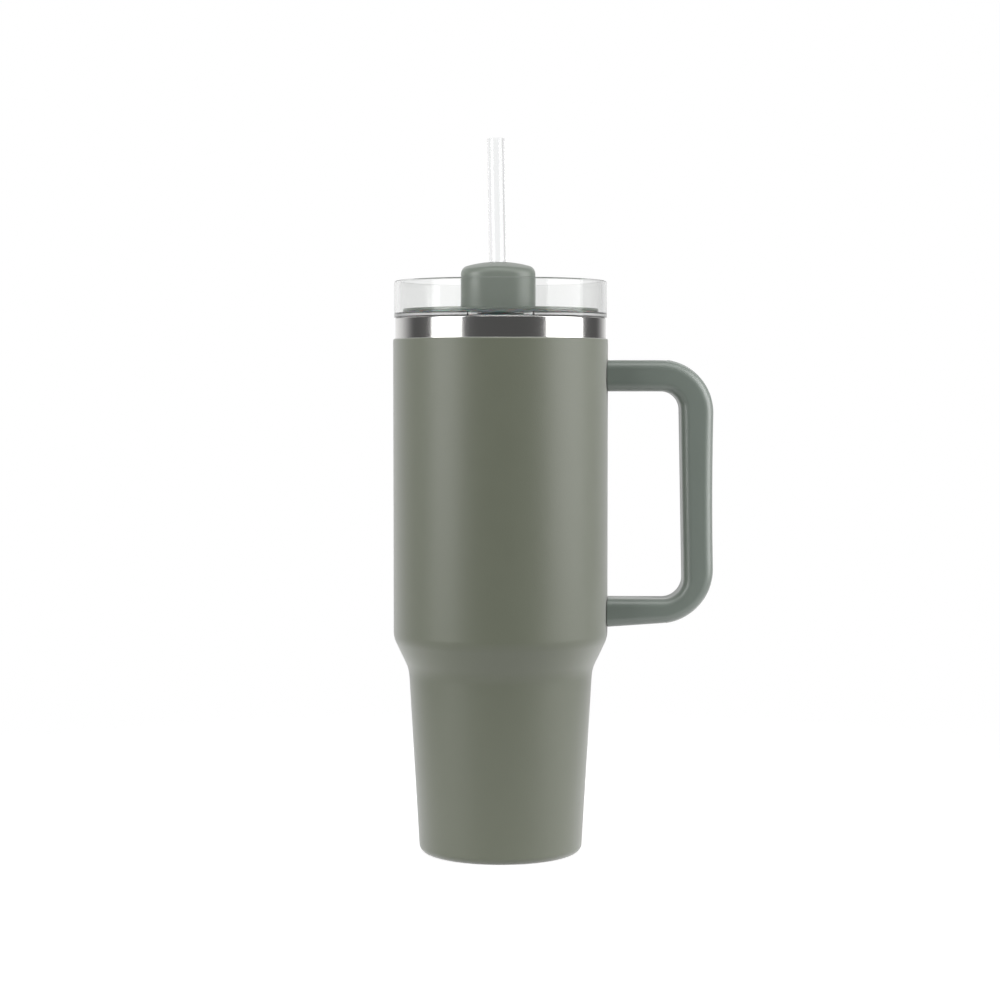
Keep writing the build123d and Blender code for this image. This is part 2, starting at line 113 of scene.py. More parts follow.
def loft(name, rings, capped=False):
    """Joins each ring to the next, and then the last to the first, or caps both ends flat."""
    bm = bmesh.new()
    made = [[bm.verts.new(p) for p in ring] for ring in rings]
    following = made[1:] if capped else made[1:] + made[:1]
    for a, b in zip(made, following):
        count = max(len(a), len(b))
        if count == 1:
            continue
        for k in range(count):
            j = (k + 1) % count
            corners = [a[k % len(a)], a[j % len(a)], b[j % len(b)], b[k % len(b)]]
            bm.faces.new(list(dict.fromkeys(corners)))
    if capped:
        bm.faces.new(made[0])
        bm.faces.new(made[-1])
    bmesh.ops.recalc_face_normals(bm, faces=bm.faces)
    mesh = bpy.data.meshes.new(name)
    bm.to_mesh(mesh)
    bm.free()
    piece = bpy.data.objects.new(name, mesh)
    bpy.context.scene.collection.objects.link(piece)
    return smooth(piece)


def smooth(piece):
    """Smooth shading that keeps hard corners and flat faces true."""
    piece.data.shade_smooth()
    piece.data.set_sharp_from_angle(angle=SHARP)
    if "normals" not in piece.modifiers:
        normals = piece.modifiers.new("normals", "WEIGHTED_NORMAL")
        normals.keep_sharp = True
    return piece


def lathe(name, *corners):
    """A turned piece from its outline of (radius, height, rounding) corners."""
    return loft(name, [circle(p.x, p.y) for p in rounded(*corners)])


def cut(piece, *cutters):
    """Cuts the cutters' shapes out of piece, and removes the cutters."""
    for cutter in cutters:
        boolean = piece.modifiers.new("cut", "BOOLEAN")
        boolean.object = cutter
        boolean.solver = "EXACT"
        with bpy.context.temp_override(object=piece, active_object=piece):
            bpy.ops.object.modifier_move_to_index(modifier="cut", index=0)
            bpy.ops.object.modifier_apply(modifier="cut")
        bpy.data.objects.remove(cutter)
    return smooth(piece)


# ---- materials ---------------------------------------------------------------------------------


def colour(red, green, blue):
    """A colour given as 0 to 255 on screen, as the linear values that shaders take."""
    channels = [c / 255 for c in (red, green, blue)]
    linear = [c / 12.92 if c <= 0.04045 else ((c + 0.055) / 1.055) ** 2.4 for c in channels]
    return (*linear, 1)


def material(
    name,
    base,
    roughness,
    mottle=0.03,
    patch=12,
    grain=0.5,
    depth=0.0,
    streak=(1, 1, 1),
    absorb=0,
    **more,
):
    """A procedural surface.

    mottle is how much the colour and gloss wander, over patches of that many millimetres.
    grain and depth are the width in millimetres and the height in metres of the fine texture,
    and streak stretches that texture along the axes, as brushing does. absorb is how much of
    the light a clear material takes in, per metre.
    """
    made = bpy.data.materials.new(name)
    made.use_nodes = True
    nodes, links = made.node_tree.nodes, made.node_tree.links
    shader = nodes["Principled BSDF"]
    coords = nodes.new("ShaderNodeTexCoord")

    wander = nodes.new("ShaderNodeTexNoise")
    wander.inputs["Scale"].default_value = 1 / (patch * MM)
    wander.inputs["Detail"].default_value = 3
    links.new(coords.outputs["Object"], wander.inputs["Vector"])
    tint = nodes.new("ShaderNodeMix")
    tint.data_type = "RGBA"
    first, second = [s for s in tint.inputs if s.type == "RGBA"]
    first.default_value = [c * (1 - mottle) for c in base[:3]] + [1]
    second.default_value = [min(1, c * (1 + mottle)) for c in base[:3]] + [1]
    links.new(wander.outputs["Fac"], tint.inputs[0])
    links.new([s for s in tint.outputs if s.type == "RGBA"][0], shader.inputs["Base Color"])
    gloss = nodes.new("ShaderNodeMapRange")
    gloss.inputs["To Min"].default_value = roughness * (1 - 2 * mottle)
    gloss.inputs["To Max"].default_value = roughness * (1 + 2 * mottle)
    links.new(wander.outputs["Fac"], gloss.inputs["Value"])
    links.new(gloss.outputs["Result"], shader.inputs["Roughness"])

    if depth:
        stretch = nodes.new("ShaderNodeMapping")
        stretch.inputs["Scale"].default_value = streak
        links.new(coords.outputs["Object"], stretch.inputs["Vector"])
        fine = nodes.new("ShaderNodeTexNoise")
        fine.inputs["Scale"].default_value = 1 / (grain * MM)
        fine.inputs["Detail"].default_value = 4
        links.new(stretch.outputs["Vector"], fine.inputs["Vector"])
        bump = nodes.new("ShaderNodeBump")
        bump.inputs["Distance"].default_value = depth
        links.new(fine.outputs["Fac"], bump.inputs["Height"])
        links.new(bump.outputs["Normal"], shader.inputs["Normal"])
    if absorb:
        inside = nodes.new("ShaderNodeVolumeAbsorption")
        inside.inputs["Color"].default_value = (0, 0, 0, 1)
        inside.inputs["Density"].default_value = absorb
        links.new(inside.outputs["Volume"], nodes["Material Output"].inputs["Volume"])
    for key, value in more.items():
        shader.inputs[key.replace("_", " ")].default_value = value
    return made


SAGE = colour(95, 100, 83)
coat = material("sage_powder_coat", SAGE, 0.42, grain=0.45, depth=0.00004, Sheen_Weight=0.9)
polished = material(
    "polished_steel", colour(206, 205, 203), 0.15, patch=30, Metallic=1.0,
    grain=0.25, depth=0.000004, streak=(0.15, 0.15, 2),
)
brushed = material(
    "brushed_steel", colour(190, 190, 188), 0.28, patch=20, Metallic=1.0,
    grain=0.3, depth=0.00001, streak=(0.1, 0.1, 2),
)
sheet_steel = material(
    "sheet_steel", colour(176, 176, 174), 0.35, Metallic=1.0, grain=0.4, depth=0.000012
)
copper = material(
    "copper_foil", colour(214, 138, 106), 0.22, mottle=0.08, Metallic=1.0, grain=6, depth=0.0001
)
sealing_glass = material("sealing_glass", colour(96, 104, 100), 0.08, Coat_Weight=0.5)
plated = material("plated_screw", colour(184, 184, 182), 0.2, Metallic=1.0, depth=0.000004)
handle_plastic = material(
    "handle_plastic", colour(108, 118, 110), 0.4, grain=0.35, depth=0.00001,
    Sheen_Weight=0.7, Specular_IOR_Level=1.0,
)
rubber = material(
    "soft_grip", colour(114, 124, 116), 0.5, grain=0.25, depth=0.00002, Sheen_Weight=0.8
)
cover_plastic = material(
    "cover_plastic", colour(118, 125, 117), 0.36, grain=0.4, depth=0.000012, Specular_IOR_Level=0.45
)
silicone = material(
    "silicone", colour(226, 228, 226), 0.5, depth=0.00001,
    Subsurface_Weight=0.4, Subsurface_Scale=0.002,
)
acetal = material("acetal", colour(232, 232, 228), 0.4, depth=0.00001)
clear = material(
    "clear_plastic", (0.91, 0.915, 0.91, 1), 0.015, mottle=0.01, patch=40,
    grain=18, depth=0.00003, absorb=5, IOR=1.28, Transmission_Weight=1.0,
)
straw_clear = material(
    "straw_plastic", (0.95, 0.955, 0.955, 1), 0.008, mottle=0.01, patch=40,
    IOR=1.25, Transmission_Weight=1.0,
)


def dress(piece, *materials):
    """Gives piece its materials, in place of any it has."""
    piece.data.materials.clear()
    for m in materials:
        piece.data.materials.append(m)
    return piece


def place(piece, body, slot, replaced, *materials):
    """Finishes a piece: its materials, its body, and hides the CAD node it stands for. slot is not
    used.
    """
    dress(piece, *materials)
    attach(piece, body)
    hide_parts(replaced)
    return piece


# ---- vessel ------------------------------------------------------------------------------------

WAIST_R = 42.9 * MM
BASE_R = 37.9 * MM
WAIST_Z = 86.0 * MM
SHOULDER_Z = 100.8 * MM
WAIST_ROUND = 18.0 * MM
SHOULDER_ROUND = 12.0 * MM
BASE_ROUND = 3.6 * MM
SHELL_T = 0.5 * MM
LINER_T = 0.5 * MM
RING_R = 31.0 * MM
RING_LIP = 3.0 * MM

shell = lathe(
    "coated_shell",
    (RING_R, 0, 0),
    (BASE_R, 0, BASE_ROUND),
    (WAIST_R, WAIST_Z, WAIST_ROUND),
    (BODY_R, SHOULDER_Z, SHOULDER_ROUND),
    (BODY_R, SHELL_TOP, 0.8 * MM),
    (NECK_R, SHELL_TOP, 0),
    (NECK_R, SHELL_TOP - SHELL_T, 0),
    (BODY_R - SHELL_T, SHELL_TOP - SHELL_T, 0),
    (BODY_R - SHELL_T, SHOULDER_Z, SHOULDER_ROUND),
    (WAIST_R - SHELL_T, WAIST_Z, WAIST_ROUND),
    (BASE_R - SHELL_T, SHELL_T, BASE_ROUND - SHELL_T),
    (RING_R + SHELL_T, SHELL_T, 0),
    (RING_R + SHELL_T, RING_LIP, 0),
    (RING_R, RING_LIP, 0),
)
place(shell, "vessel", "coated_steel", "outer_shell", coat)

LINER_FLOOR = liner_low.z + LINER_T
LINER_GAP = 3.0 * MM  # from the shell's outside to the liner's outside
LINER_IN = LINER_GAP + LINER_T
NECK_BOTTOM = SHELL_TOP - 4.0 * MM
LIP_ROUND = 0.7 * MM
LINER_CORNER = 8.0 * MM
foot_r = BASE_R + (WAIST_R - BASE_R) * LINER_FLOOR / WAIST_Z
liner = lathe(
    "steel_liner",
    (0, LINER_FLOOR, 0),
    (foot_r - LINER_IN, LINER_FLOOR, LINER_CORNER),
    (WAIST_R - LINER_IN, WAIST_Z, WAIST_ROUND),
    (BODY_R - LINER_IN, SHOULDER_Z, SHOULDER_ROUND),
    (BODY_R - LINER_IN, LIP, LIP_ROUND),
    (NECK_R, LIP, LIP_ROUND),
    (NECK_R, NECK_BOTTOM, 0),
    (NECK_R - LINER_T, NECK_BOTTOM, 0),
    (NECK_R - LINER_T, LIP - LINER_T, LIP_ROUND - LINER_T),
    (BODY_R - LINER_GAP, LIP - LINER_T, LIP_ROUND - LINER_T),
    (BODY_R - LINER_GAP, SHOULDER_Z, SHOULDER_ROUND),
    (WAIST_R - LINER_GAP, WAIST_Z, WAIST_ROUND),
    (foot_r - LINER_GAP, LINER_FLOOR - LINER_T, LINER_CORNER + LINER_T),
    (0, LINER_FLOOR - LINER_T, 0),
)
place(liner, "vessel", "bare_steel", "inner_liner", polished, brushed)
for face in liner.data.polygons:
    on_neck = math.hypot(face.center.x, face.center.y) > NECK_R - 2 * LIP_ROUND
    face.material_index = 0 if on_neck and face.center.z > NECK_BOTTOM else 1

CAP_T = 0.5 * MM
CAP_RISE = 0.4 * MM
CAP_STEP_R = 20.0 * MM
cap = lathe(
    "stamped_base_cap",
    (0, cap_low.z + CAP_RISE, 0),
    (CAP_STEP_R, cap_low.z + CAP_RISE, 0.2 * MM),
    (CAP_STEP_R + 0.6 * MM, cap_low.z, 0.2 * MM),
    (cap_high.x, cap_low.z, 0.4 * MM),
    (cap_high.x, cap_high.z, 0),
    (cap_high.x - CAP_T, cap_high.z, 0),
    (cap_high.x - CAP_T, cap_low.z + CAP_T, 0),
    (CAP_STEP_R + 0.3 * MM, cap_low.z + CAP_T, 0.2 * MM),
    (CAP_STEP_R - 0.3 * MM, cap_low.z + CAP_T + CAP_RISE, 0.2 * MM),
    (0, cap_low.z + CAP_T + CAP_RISE, 0),
)
place(cap, "vessel", "sheet_steel", "base_cap", brushed)

for name, finish in {
    "foil_wrap": copper,
    "base_plate": sheet_steel,
    "vacuum_seal_bead": sealing_glass,
    "getter": sheet_steel,
    "upper_lug": sheet_steel,
    "lower_lug": sheet_steel,
    "upper_screw": plated,
    "lower_screw": plated,
    "hub_clip": acetal,
}.items():
    dress(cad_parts[name], finish)

# ---- handle ------------------------------------------------------------------------------------

HANDLE_W = handle_high.y - handle_low.y
HANDLE_EDGE = 4.3 * MM
HANDLE_TOP = handle_high.z
HANDLE_FOOT = handle_low.z
FINGER_TOP = 215.6 * MM
FINGER_BOTTOM = 119.2 * MM
ARM_END_R = BODY_R + 0.15 * MM
BACK_BOW = 0.4 * MM  # how far the back bows in between its corners
OUTER_UPPER_X = 98.5 * MM
OUTER_UPPER_ROUND = 24.5 * MM
OUTER_LOWER_X = 98.65 * MM
OUTER_LOWER_Z = 109.4 * MM
OUTER_LOWER_ROUND = 25.0 * MM
INNER_UPPER_X = 83.3 * MM
INNER_UPPER_ROUND = 8.5 * MM
INNER_LOWER_X = 85.2 * MM
INNER_LOWER_ROUND = 9.5 * MM
INNER_LOWER_RISE = 0.2 * MM  # how much higher the lower arm's top is at the shell
STRIP_W = strip_high.y - strip_low.y
STRIP_DEPTH = 2.2 * MM
STRIP_PROUD = 0.3 * MM
STRIP_GAP = 0.25 * MM
STRIP_END = strip_low.x
EASE = 0.5 * MM  # rounding of the arms' and the strip's ends
EASE_STEPS = 4
CORNER_STEPS = 20
BACK_STEPS = 14


def handle_stations():
    """Pairs of (inner, outer) points in the XZ plane, from the upper arm's end to the lower's."""
    outer = rounded(
        (ARM_END_R, HANDLE_TOP, 0),
        (OUTER_UPPER_X, HANDLE_TOP, OUTER_UPPER_ROUND),
        (OUTER_LOWER_X, OUTER_LOWER_Z, OUTER_LOWER_ROUND),
        (ARM_END_R, HANDLE_FOOT, 0),
        closed=False,
        steps=CORNER_STEPS,
    )
    inner = rounded(
        (ARM_END_R, FINGER_TOP, 0),
        (INNER_UPPER_X, FINGER_TOP, INNER_UPPER_ROUND),
        (INNER_LOWER_X, FINGER_BOTTOM, INNER_LOWER_ROUND),
        (ARM_END_R, FINGER_BOTTOM + INNER_LOWER_RISE, 0),
        closed=False,
        steps=CORNER_STEPS,
    )
    pairs = list(zip(inner, outer))
    first_below = CORNER_STEPS + 2
    above, below = pairs[first_below - 1], pairs[first_below]
    back = []
    for k in range(1, BACK_STEPS):
        t = k / BACK_STEPS
        bow = Vector((4 * t * (1 - t) * BACK_BOW, 0))
        back.append((above[0].lerp(below[0], t), above[1].lerp(below[1], t) - bow))
    return pairs[:first_below] + back + pairs[first_below:]


def from_strip_end(pairs):
    """The stations from where the handle's outside first passes the strip's end."""
    first = next(k for k, (inner, outer) in enumerate(pairs) if outer.x > STRIP_END)
    before, after = pairs[first - 1], pairs[first]
    t = (STRIP_END - before[1].x) / (after[1].x - before[1].x)
    return [(before[0].lerp(after[0], t), before[1].lerp(after[1], t))] + pairs[first:]


def section(station, width, low, high, low_edge, high_edge):
    """A ring across the handle, from low to high measured outwards from its outer side."""
    inner, outer = station
    out = (outer - inner).normalized()
    corners = rounded(
        (-width / 2, low, low_edge),
        (width / 2, low, low_edge),
        (width / 2, high, high_edge),
        (-width / 2, high, high_edge),
        steps=8,
    )
    return [Vector((outer.x + out.x * p.y, p.x, outer.y + out.y * p.y)) for p in corners]


def handle_ring(station, inset=0.0):
    thick = (station[1] - station[0]).length
    edge = HANDLE_EDGE - inset
    return section(station, HANDLE_W - 2 * inset, inset - thick, -inset, edge, edge)


def strip_ring(station, inset=0.0):
    top = STRIP_PROUD - inset
    return section(station, STRIP_W - 2 * inset, -STRIP_DEPTH, top, 0, 0.7 * MM)


def ease_steps():
    """Pairs of (inset, advance) along a quarter round, from the end face to full size."""
    angles = [TURN / 4 * k / EASE_STEPS for k in range(EASE_STEPS + 1)]
    return [(EASE * (1 - math.sin(a)), EASE * (1 - math.cos(a))) for a in angles]


def arm_end(station):
    """Rings that close an arm, with its end face hollowed to fit round the shell."""
    rings = []
    for inset, advance in ease_steps():
        reach = ARM_END_R + advance
        ring = handle_ring(station, inset)
        rings.append([Vector((math.sqrt(reach**2 - p.y**2), p.y, p.z)) for p in ring])
    return rings


def strip_end(end, beside):
    rings = []
    for inset, advance in ease_steps()[:-1]:
        t = advance / (beside[1] - end[1]).length
        rings.append(strip_ring((end[0].lerp(beside[0], t), end[1].lerp(beside[1], t)), inset))
    return rings


def bar(name, points, start, end):
    """A straight cutter along +X from (y, z) points."""
    return loft(name, [[Vector((x, p.x, p.y)) for p in points] for x in (start, end)], capped=True)


def plate(width, height, radius, z):
    """Points of a rounded rectangle centred at height z."""
    w, h = width / 2, height / 2
    return rounded((-w, z - h, radius), (w, z - h, radius), (w, z + h, radius), (-w, z + h, radius))


stations = handle_stations()
upper_end, lower_end = arm_end(stations[0]), arm_end(stations[-1])
handle_rings = upper_end + [handle_ring(s) for s in stations[1:-1]] + lower_end[::-1]
handle = loft("moulded_handle", handle_rings, capped=True)

strip_stations = from_strip_end(from_strip_end(stations)[::-1])[::-1]
groove = [
    section(s, STRIP_W + 2 * STRIP_GAP, -STRIP_DEPTH, HANDLE_EDGE, 0, 0) for s in strip_stations
]
cut(handle, loft("groove", groove, capped=True))

LUG_END = 59.0 * MM
SCREW_SEAT = 63.0 * MM
SCREW_CLEAR = 3.9 * MM
SCREW_BORE = 6.4 * MM
POCKET_W = 13.3 * MM
POCKET_H = 7.3 * MM
UPPER_SCREW_Z = 222.9 * MM
LOWER_SCREW_Z = 113.0 * MM
for arm_z in (UPPER_SCREW_Z, LOWER_SCREW_Z):
    pocket = plate(POCKET_W, POCKET_H, 1 * MM, arm_z)
    clearance = plate(SCREW_CLEAR, SCREW_CLEAR, SCREW_CLEAR / 2, arm_z)
    bore = plate(SCREW_BORE, SCREW_BORE, SCREW_BORE / 2, arm_z)
    cut(
        handle,
        bar("pocket", pocket, BODY_R - 10 * MM, LUG_END),
        bar("clearance", clearance, LUG_END - EASE, SCREW_SEAT + EASE),
        bar("bore", bore, SCREW_SEAT, handle_high.x + EASE),
    )
place(handle, "vessel", "handle_plastic", "handle_frame", handle_plastic)

strip_rings = strip_end(*strip_stations[:2]) + [strip_ring(s) for s in strip_stations[1:-1]]
strip_rings += strip_end(*strip_stations[:-3:-1])[::-1]
strip = loft("soft_grip_strip", strip_rings, capped=True)
place(strip, "vessel", "grip_rubber", "grip_strip", rubber)

# ---- lid ---------------------------------------------------------------------------------------

HUB_R = 8.95 * MM
RUNNING = 0.05 * MM
PORT_R = 38.0 * MM
SIP_W = 6.5 * MM
SIP_ARC = math.radians(34)
VENT_R = 1.25 * MM
PLUG_R = 45.4 * MM
PLUG_IN = PLUG_R - 3.0 * MM
PLUG_LIP = lid_low.z
GROOVE_R = PLUG_R - 1.5 * MM
GROOVE_BOTTOM = seal_low.z - RUNNING
GROOVE_TOP = seal_high.z + RUNNING
LID_IN = LID_R - 2.5 * MM
LID_FLOOR = gasket_low.z - RUNNING
LID_UNDER = LID_FLOOR - 2.2 * MM


def arc_slot(radius, width, span, facing, low, high):
    """A cutter for a curved slot with round ends, centred on an angle, between two heights."""
    near, far = facing - span / 2, facing + span / 2
    steps = 16

    def on_arc(r, start, end):
        angles = [start + (end - start) * k / steps for k in range(steps + 1)]
        return [Vector((r * math.cos(a), r * math.sin(a))) for a in angles]

    def round_end(angle, start):
        middle = Vector((radius * math.cos(angle), radius * math.sin(angle)))
        turns = [start + TURN / 2 * k / steps for k in range(1, steps)]
        return [middle + Vector((math.cos(a), math.sin(a))) * width / 2 for a in turns]

    points = on_arc(radius + width / 2, near, far) + round_end(far, far)
    points += on_arc(radius - width / 2, far, near) + round_end(near, near + TURN / 2)
    return loft("slot", [[Vector((*p, z)) for p in points] for z in (low, high)], capped=True)


def cut_ports(piece, widen, low, high):
    """Cuts the sip slot on the -Y side and the vent hole on the +Y side."""
    vent_at = Vector((0, PORT_R, 0))
    vent = [[p + vent_at for p in circle(VENT_R + widen, z, count=32)] for z in (low, high)]
    sip = arc_slot(PORT_R, SIP_W + 2 * widen, SIP_ARC, -TURN / 4, low, high)
    return cut(piece, sip, loft("vent", vent, capped=True))


lid = lathe(
    "clear_lid",
    (HUB_R + RUNNING, LID_UNDER, 0.3 * MM),
    (PLUG_IN, LID_UNDER, 1.5 * MM),
    (PLUG_IN, PLUG_LIP, 0.5 * MM),
    (PLUG_R, PLUG_LIP, 0.8 * MM),
    (PLUG_R, GROOVE_BOTTOM, 0.2 * MM),
    (GROOVE_R, GROOVE_BOTTOM, 0),
    (GROOVE_R, GROOVE_TOP, 0),
    (PLUG_R, GROOVE_TOP, 0.2 * MM),
    (PLUG_R, LIP + RUNNING, 0.3 * MM),
    (LID_R, LIP + RUNNING, 0.5 * MM),
    (LID_R, LID_TOP, 1.0 * MM),
    (LID_IN, LID_TOP, 1.0 * MM),
    (LID_IN, LID_FLOOR, 0.6 * MM),
    (HUB_R + RUNNING, LID_FLOOR, 0.3 * MM),
)
cut_ports(lid, 0.3 * MM, LID_UNDER - 1 * MM, LID_FLOOR + 1 * MM)
place(lid, "lid", "clear_plastic", "lid_body", clear)

SEAL_TIP = seal_high.x
SEAL_LIP = 0.4 * MM
SEAL_RISE = 1.2 * MM
seal_mid = (seal_low.z + seal_high.z) / 2
seal = lathe(
    "lid_seal_ring",
    (GROOVE_R, seal_low.z, 0),
    (PLUG_R, seal_low.z, 0.2 * MM),
    (SEAL_TIP, seal_low.z + SEAL_RISE, 0.15 * MM),
    (SEAL_TIP, seal_low.z + SEAL_RISE + SEAL_LIP, 0.15 * MM),
    (PLUG_R, seal_low.z + SEAL_RISE + SEAL_LIP, 0.1 * MM),
    (PLUG_R, seal_mid, 0.1 * MM),
    (SEAL_TIP, seal_mid + SEAL_RISE, 0.15 * MM),
    (SEAL_TIP, seal_mid + SEAL_RISE + SEAL_LIP, 0.15 * MM),
    (PLUG_R, seal_mid + SEAL_RISE + SEAL_LIP, 0.1 * MM),
    (PLUG_R, seal_high.z, 0.2 * MM),
    (GROOVE_R, seal_high.z, 0),
)
place(seal, "lid", "seal_silicone", "lid_seal", silicone)

# ---- cover -------------------------------------------------------------------------------------

DISC_UNDER = gasket_high.z
DISC_TOP = DISC_UNDER + 1.5 * MM
DISC_EDGE = 0.4 * MM
GRIP_AT = Vector((-1.1 * MM, 0))  # the middle of the grip, and of the hole in its roof
GRIP_W = 34.2 * MM
GRIP_L = 56.0 * MM
GRIP_CORNER = 13.0 * MM
GRIP_EDGE = 2.5 * MM
GRIP_WALL = 2.0 * MM
GRIP_FOOT = 0.8 * MM
ROOF_T = 3.0 * MM
CROWN_R = 55.0 * MM
CROWN_LONG_R = 110.0 * MM  # the crown is flatter along the grip than across it
HOLE_R = 4.8 * MM
HOLE_EDGE = 0.6 * MM
HUB_IN = 6.3 * MM
HUB_TOP = grommet_high.z
HUB_BOTTOM = cover_low.z
CLIP_R = HUB_R - 0.8 * MM
CLIP_TOP = LID_UNDER - 0.1 * MM
CLIP_BOTTOM = CLIP_TOP - 1.2 * MM
SPREAD_STEPS = 10


def grip_outline(offset):
    """The grip bar's plan outline, grown outwards by offset, with points along its sides too."""
    w, l, r = GRIP_W / 2 + offset, GRIP_L / 2 + offset, GRIP_CORNER + offset
    along = [y * MM for y in (-12, -8, -4, 0, 4, 8, 12)]
    across = [x * MM for x in (2, 0, -2)]
    corners = [(w, -l, r)] + [(w, y, 0) for y in along] + [(w, l, r)]
    corners += [(x, l, 0) for x in across] + [(-w, l, r)]
    corners += [(-w, -y, 0) for y in along] + [(-w, -l, r)] + [(-x, -l, 0) for x in across]
    return [GRIP_AT + p for p in rounded(*corners, steps=14)]


plan_angles = [math.atan2(p.y, p.x - GRIP_AT.x) for p in grip_outline(0)]


def hoop(radius, middle=Vector((0, 0))):
    """Plan points on a circle, one for each point of the grip's outline."""
    return [middle + Vector((radius * math.cos(a), radius * math.sin(a))) for a in plan_angles]


def level(points, z):
    return [Vector((*p, z)) for p in points]


def domed(points, radius, drop=0.0):
    """Points lifted onto the crown, which has this radius across, and then lowered by drop."""
    lifted = []
    for p in points:
        across = math.sqrt(radius**2 - (p.x - GRIP_AT.x) ** 2)
        along = math.sqrt((CROWN_LONG_R - CROWN_R + across) ** 2 - p.y**2)
        lifted.append(Vector((*p, GRIP_TOP - CROWN_LONG_R + along - drop)))
    return lifted


def spread(start, end, lift):
    """Rings between two sets of plan points, without the two ends."""
    shares = [k / SPREAD_STEPS for k in range(1, SPREAD_STEPS)]
    return [lift([a.lerp(b, t) for a, b in zip(start, end)]) for t in shares]


def quarter(steps):
    """Pairs of (sine, cosine) along a quarter turn."""
    angles = [TURN / 4 * k / steps for k in range(steps + 1)]
    return [(math.sin(a), math.cos(a)) for a in angles]


def crown(points):
    return domed(points, CROWN_R)


def ceiling(points):
    return domed(points, CROWN_R - ROOF_T)


def disc_top(points):
    return level(points, DISC_TOP)


def disc_under(points):
    return level(points, DISC_UNDER)


bar_top = grip_outline(-GRIP_EDGE)
bar_foot = grip_outline(GRIP_FOOT)
bar_in = grip_outline(-GRIP_WALL)
disc_flat = hoop(COVER_R - DISC_EDGE)
hole_rim = [
    domed(hoop(HOLE_R + HOLE_EDGE * (1 - c), GRIP_AT), CROWN_R, HOLE_EDGE * (1 - s))
    for s, c in quarter(4)
]
shoulder = [
    domed(grip_outline(GRIP_EDGE * (s - 1)), CROWN_R, GRIP_EDGE * (1 - c)) for s, c in quarter(8)
]
grip_foot = [
    level(grip_outline(GRIP_FOOT * (1 - c)), DISC_TOP + GRIP_FOOT * (1 - s)) for s, c in quarter(4)
]
upper_rim = [
    level(hoop(COVER_R - DISC_EDGE * (1 - s)), DISC_TOP - DISC_EDGE * (1 - c))
    for s, c in quarter(4)
]
lower_rim = [
    level(hoop(COVER_R - DISC_EDGE * (1 - c)), DISC_UNDER + DISC_EDGE * (1 - s))
    for s, c in quarter(4)
]
hub = [
    ceiling(hoop(HUB_R)),
    level(hoop(HUB_R), CLIP_TOP),
    level(hoop(CLIP_R), CLIP_TOP),
    level(hoop(CLIP_R), CLIP_BOTTOM),
    level(hoop(HUB_R), CLIP_BOTTOM),
    level(hoop(HUB_R), HUB_BOTTOM),
    level(hoop(HUB_IN), HUB_BOTTOM),
    level(hoop(HUB_IN), HUB_TOP),
    level(hoop(HOLE_R, GRIP_AT), HUB_TOP),
]
cover = loft(
    "turning_cover",
    hole_rim
    + spread(hoop(HOLE_R + HOLE_EDGE, GRIP_AT), bar_top, crown)
    + shoulder
    + grip_foot
    + spread(bar_foot, disc_flat, disc_top)
    + upper_rim
    + lower_rim
    + spread(disc_flat, bar_in, disc_under)
    + [disc_under(bar_in), ceiling(bar_in)]
    + spread(bar_in, hoop(HUB_R), ceiling)
    + hub,
)
cut_ports(cover, 0, DISC_UNDER - 0.3 * MM, DISC_TOP + 1 * MM)
place(cover, "cover", "cover_plastic", "rotating_cover", cover_plastic)

gasket = lathe(
    "cover_gasket",
    (HUB_R, gasket_low.z, 0),
    (gasket_high.x, gasket_low.z, 0.2 * MM),
    (gasket_high.x, gasket_high.z, 0.2 * MM),
    (HUB_R, gasket_high.z, 0),
)
cut_ports(gasket, 0, gasket_low.z - 1 * MM, gasket_high.z + 1 * MM)
place(gasket, "cover", "seal_silicone", "cover_seal", silicone)

# ---- straw -------------------------------------------------------------------------------------

STRAW_R = 4.0 * MM
STRAW_WALL = 0.9 * MM
STRAW_LENGTH = 319.0 * MM
STRAW_ABOVE = 64.8 * MM  # from the pivot to the top end
STRAW_RIM = 0.3 * MM
STRAW_TILT = math.radians(1.0)
PIVOT = Vector((GRIP_AT.x, 0, 268.0 * MM))
STRAW_AROUND = 72


def tilted(ring):
    """A ring drawn about the Z axis, moved onto the straw's own axis. Its z is from the pivot."""
    tilt = Matrix.Rotation(-STRAW_TILT, 3, "Y")
    return [PIVOT + tilt @ p for p in ring]


straw_in = STRAW_R - STRAW_WALL
straw_foot = STRAW_ABOVE - STRAW_LENGTH
straw_outline = rounded(
    (straw_in, straw_foot, STRAW_RIM),
    (STRAW_R, straw_foot, STRAW_RIM),
    (STRAW_R, STRAW_ABOVE, STRAW_RIM),
    (straw_in, STRAW_ABOVE, STRAW_RIM),
)
straw = loft("clear_straw", [tilted(circle(p.x, p.y, count=STRAW_AROUND)) for p in straw_outline])
place(straw, "straw", "straw_plastic", "straw", straw_clear)


def on_straw(radius, z):
    """A level ring round the straw's axis at height z."""
    shift = (PIVOT.z - z) * math.tan(STRAW_TILT)
    return circle(radius, z, x=PIVOT.x + shift, count=STRAW_AROUND)


SLEEVE_R = STRAW_R + RUNNING
SLEEVE_EDGE = 0.4 * MM
sleeve_low, sleeve_high = grommet_low.z, grommet_high.z
sleeve = loft(
    "straw_sleeve",
    [
        on_straw(SLEEVE_R, sleeve_low + SLEEVE_EDGE),
        on_straw(SLEEVE_R + SLEEVE_EDGE, sleeve_low),
        circle(HUB_IN - SLEEVE_EDGE, sleeve_low, count=STRAW_AROUND),
        circle(HUB_IN, sleeve_low + SLEEVE_EDGE, count=STRAW_AROUND),
        circle(HUB_IN, sleeve_high, count=STRAW_AROUND),
        on_straw(SLEEVE_R + SLEEVE_EDGE, sleeve_high),
        on_straw(SLEEVE_R, sleeve_high - SLEEVE_EDGE),
    ],
)
place(sleeve, "cover", "seal_silicone", "straw_grommet", silicone)

# ---- floor, light and camera -------------------------------------------------------------------

